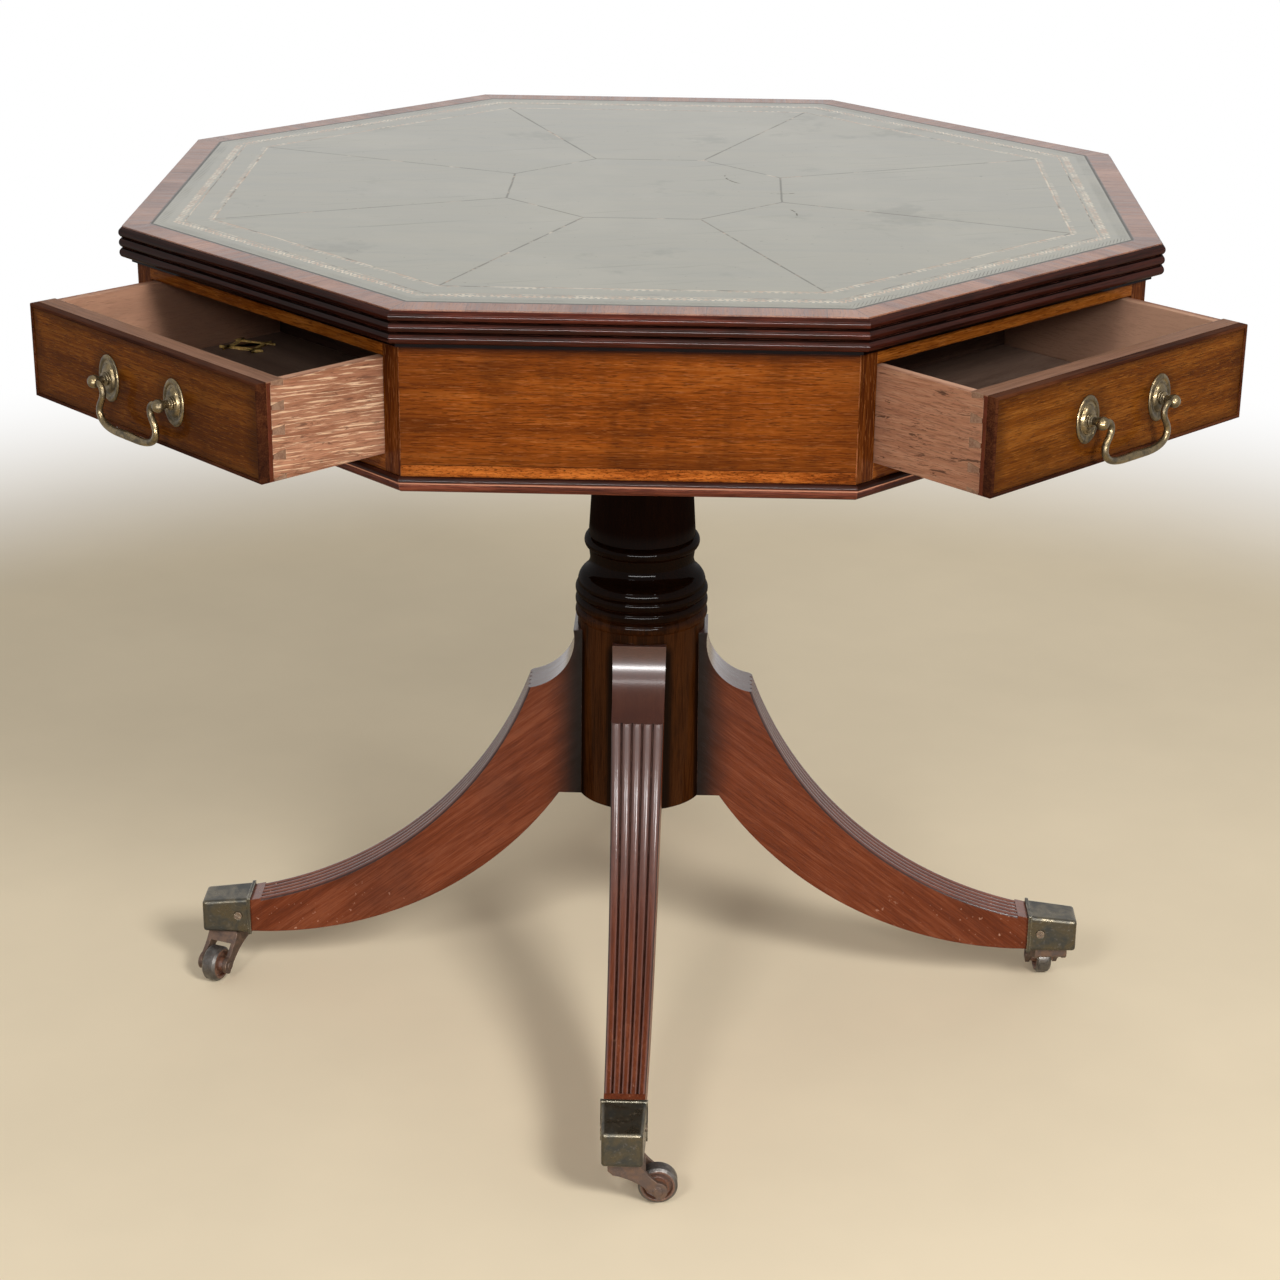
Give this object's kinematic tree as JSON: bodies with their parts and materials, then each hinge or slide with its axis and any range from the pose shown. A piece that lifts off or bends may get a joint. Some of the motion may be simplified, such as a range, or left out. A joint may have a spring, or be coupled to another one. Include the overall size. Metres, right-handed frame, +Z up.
{
  "type": "rent table",
  "caption": "Octagonal revolving rent table: leather-lined drum top with dovetailed drawers and bail handles, on a turned column with reeded sabre legs, toe sockets and swivel casters.",
  "frame": {"origin": "on the floor under the column axis", "axes": "+Z up; the drawers slide along X and Y; the legs stand on the diagonals; +X and -Y are the faces of the two drawers that stand open"},
  "size_m": [0.9644, 0.9644, 0.762],
  "materials": {
    "dark_mahogany": "polished",
    "reeded_mahogany": "polished",
    "crossband_mahogany": "polished",
    "golden_mahogany": "polished",
    "carcase_oak": "plain",
    "drawer_oak": "plain",
    "green_leather": "semi-gloss, tooled",
    "patinated_brass": "dark patina",
    "brass": "aged",
    "iron": "worn"
  },
  "bodies": {
    "pedestal": {"column": "dark_mahogany", "leg_northeast": "reeded_mahogany", "leg_northwest": "reeded_mahogany", "leg_southwest": "reeded_mahogany", "leg_southeast": "reeded_mahogany", "caster_sockets": "patinated_brass", "socket_screws": "brass", "pivot_pin": "iron", "pivot_collar": "iron", "pivot_screws": "iron"},
    "drum": {"top_board": "carcase_oak", "leather_top": "green_leather", "crossbanding": "crossband_mahogany", "edge_moulding": "dark_mahogany", "frieze_panels": "golden_mahogany", "corner_posts": "golden_mahogany", "drawer_rails": "golden_mahogany", "base_board": "carcase_oak", "base_moulding": "dark_mahogany", "drawer_runners": "carcase_oak", "drawer_kickers": "carcase_oak", "bearing_flange": "iron", "bearing_screws": "iron"},
    "drawer_east": {"drawer_front_east": "golden_mahogany", "drawer_sides_east": "drawer_oak", "drawer_back_east": "drawer_oak", "drawer_bottom_east": "drawer_oak", "cock_bead_east": "dark_mahogany", "handle_mounts_east": "brass"},
    "bail_east": {"handle_bail_east": "brass"},
    "drawer_north": {"drawer_front_north": "golden_mahogany", "drawer_sides_north": "drawer_oak", "drawer_back_north": "drawer_oak", "drawer_bottom_north": "drawer_oak", "cock_bead_north": "dark_mahogany", "handle_mounts_north": "brass"},
    "bail_north": {"handle_bail_north": "brass"},
    "drawer_west": {"drawer_front_west": "golden_mahogany", "drawer_sides_west": "drawer_oak", "drawer_back_west": "drawer_oak", "drawer_bottom_west": "drawer_oak", "cock_bead_west": "dark_mahogany", "handle_mounts_west": "brass"},
    "bail_west": {"handle_bail_west": "brass"},
    "drawer_south": {"drawer_front_south": "golden_mahogany", "drawer_sides_south": "drawer_oak", "drawer_back_south": "drawer_oak", "drawer_bottom_south": "drawer_oak", "cock_bead_south": "dark_mahogany", "handle_mounts_south": "brass"},
    "bail_south": {"handle_bail_south": "brass"},
    "caster_northeast": {"caster_horn_northeast": "patinated_brass"},
    "wheel_northeast": {"caster_wheel_northeast": "iron"},
    "caster_northwest": {"caster_horn_northwest": "patinated_brass"},
    "wheel_northwest": {"caster_wheel_northwest": "iron"},
    "caster_southwest": {"caster_horn_southwest": "patinated_brass"},
    "wheel_southwest": {"caster_wheel_southwest": "iron"},
    "caster_southeast": {"caster_horn_southeast": "patinated_brass"},
    "wheel_southeast": {"caster_wheel_southeast": "iron"}
  },
  "joints": [
    {"name": "drum_turn", "type": "hinge", "parent": "pedestal", "child": "drum", "pos_m": [0, 0, 0.616], "axis": [0, 0, 1], "continuous": true},
    {"name": "drawer_east_slide", "type": "slide", "parent": "drum", "child": "drawer_east", "axis": [1, 0, 0], "range_m": [-0.112, 0.078]},
    {"name": "bail_east_swing", "type": "hinge", "parent": "drawer_east", "child": "bail_east", "pos_m": [0.533, 0, 0.6828], "axis": [0, -1, 0], "range_deg": [-10, 160]},
    {"name": "drawer_north_slide", "type": "slide", "parent": "drum", "child": "drawer_north", "axis": [0, 1, 0], "range_m": [0, 0.19]},
    {"name": "bail_north_swing", "type": "hinge", "parent": "drawer_north", "child": "bail_north", "pos_m": [0, 0.421, 0.6828], "axis": [1, 0, 0], "range_deg": [-10, 160]},
    {"name": "drawer_west_slide", "type": "slide", "parent": "drum", "child": "drawer_west", "axis": [-1, 0, 0], "range_m": [0, 0.19]},
    {"name": "bail_west_swing", "type": "hinge", "parent": "drawer_west", "child": "bail_west", "pos_m": [-0.421, 0, 0.6828], "axis": [0, 1, 0], "range_deg": [-10, 160]},
    {"name": "drawer_south_slide", "type": "slide", "parent": "drum", "child": "drawer_south", "axis": [0, -1, 0], "range_m": [-0.112, 0.078]},
    {"name": "bail_south_swing", "type": "hinge", "parent": "drawer_south", "child": "bail_south", "pos_m": [0, -0.533, 0.6828], "axis": [-1, 0, 0], "range_deg": [-10, 160]},
    {"name": "caster_northeast_swivel", "type": "hinge", "parent": "pedestal", "child": "caster_northeast", "pos_m": [0.27577, 0.27577, 0.042], "axis": [0, 0, 1], "continuous": true},
    {"name": "wheel_northeast_roll", "type": "hinge", "parent": "caster_northeast", "child": "wheel_northeast", "pos_m": [0.25356, 0.29441, 0.0165], "axis": [-0.6428, -0.766, 0], "continuous": true},
    {"name": "caster_northwest_swivel", "type": "hinge", "parent": "pedestal", "child": "caster_northwest", "pos_m": [-0.27577, 0.27577, 0.042], "axis": [0, 0, 1], "continuous": true},
    {"name": "wheel_northwest_roll", "type": "hinge", "parent": "caster_northwest", "child": "wheel_northwest", "pos_m": [-0.30302, 0.28569, 0.0165], "axis": [-0.342, -0.9397, 0], "continuous": true},
    {"name": "caster_southwest_swivel", "type": "hinge", "parent": "pedestal", "child": "caster_southwest", "pos_m": [-0.27577, -0.27577, 0.042], "axis": [0, 0, 1], "continuous": true},
    {"name": "wheel_southwest_roll", "type": "hinge", "parent": "caster_southwest", "child": "wheel_southwest", "pos_m": [-0.26398, -0.30227, 0.0165], "axis": [0.9135, 0.4067, 0], "continuous": true},
    {"name": "caster_southeast_swivel", "type": "hinge", "parent": "pedestal", "child": "caster_southeast", "pos_m": [0.27577, -0.27577, 0.042], "axis": [0, 0, 1], "continuous": true},
    {"name": "wheel_southeast_roll", "type": "hinge", "parent": "caster_southeast", "child": "wheel_southeast", "pos_m": [0.29555, -0.25456, 0.0165], "axis": [-0.7314, 0.682, 0], "continuous": true}
  ]
}
